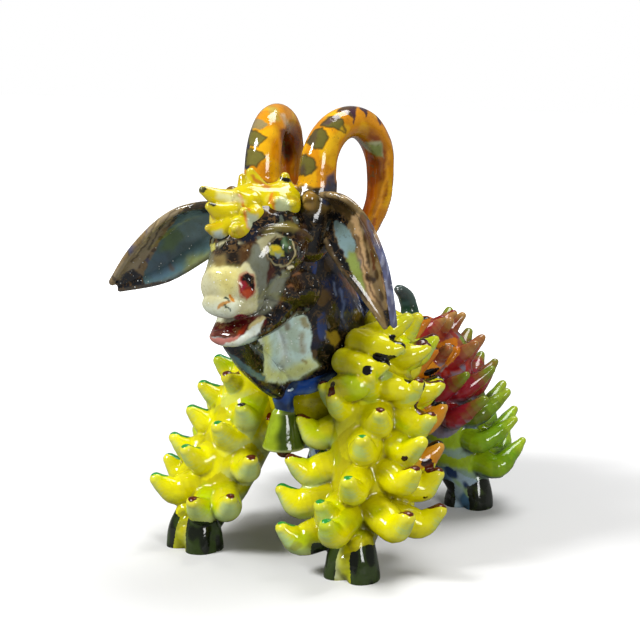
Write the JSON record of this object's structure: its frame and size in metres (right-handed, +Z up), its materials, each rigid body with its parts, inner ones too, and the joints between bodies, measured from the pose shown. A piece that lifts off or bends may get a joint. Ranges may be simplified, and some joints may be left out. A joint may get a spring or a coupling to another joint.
{
  "type": "goat figurine",
  "caption": "Glazed pottery goat with arched horns, long ears, an open mouth, a collar with a bell and legs covered in clay tufts.",
  "frame": {"origin": "on the ground under the middle of the outer box, at the level of the hoof soles", "axes": "+Z up, -Y the way the goat faces, +X the goat's left side"},
  "size_m": [0.1508, 0.1866, 0.1935],
  "materials": {
    "glazed_pottery": "glossy painted glaze over white clay, mostly yellow, with a dark head, orange horns and a red to green rump"
  },
  "bodies": {
    "root": {"goat_figurine": "glazed_pottery"}
  },
  "joints": []
}
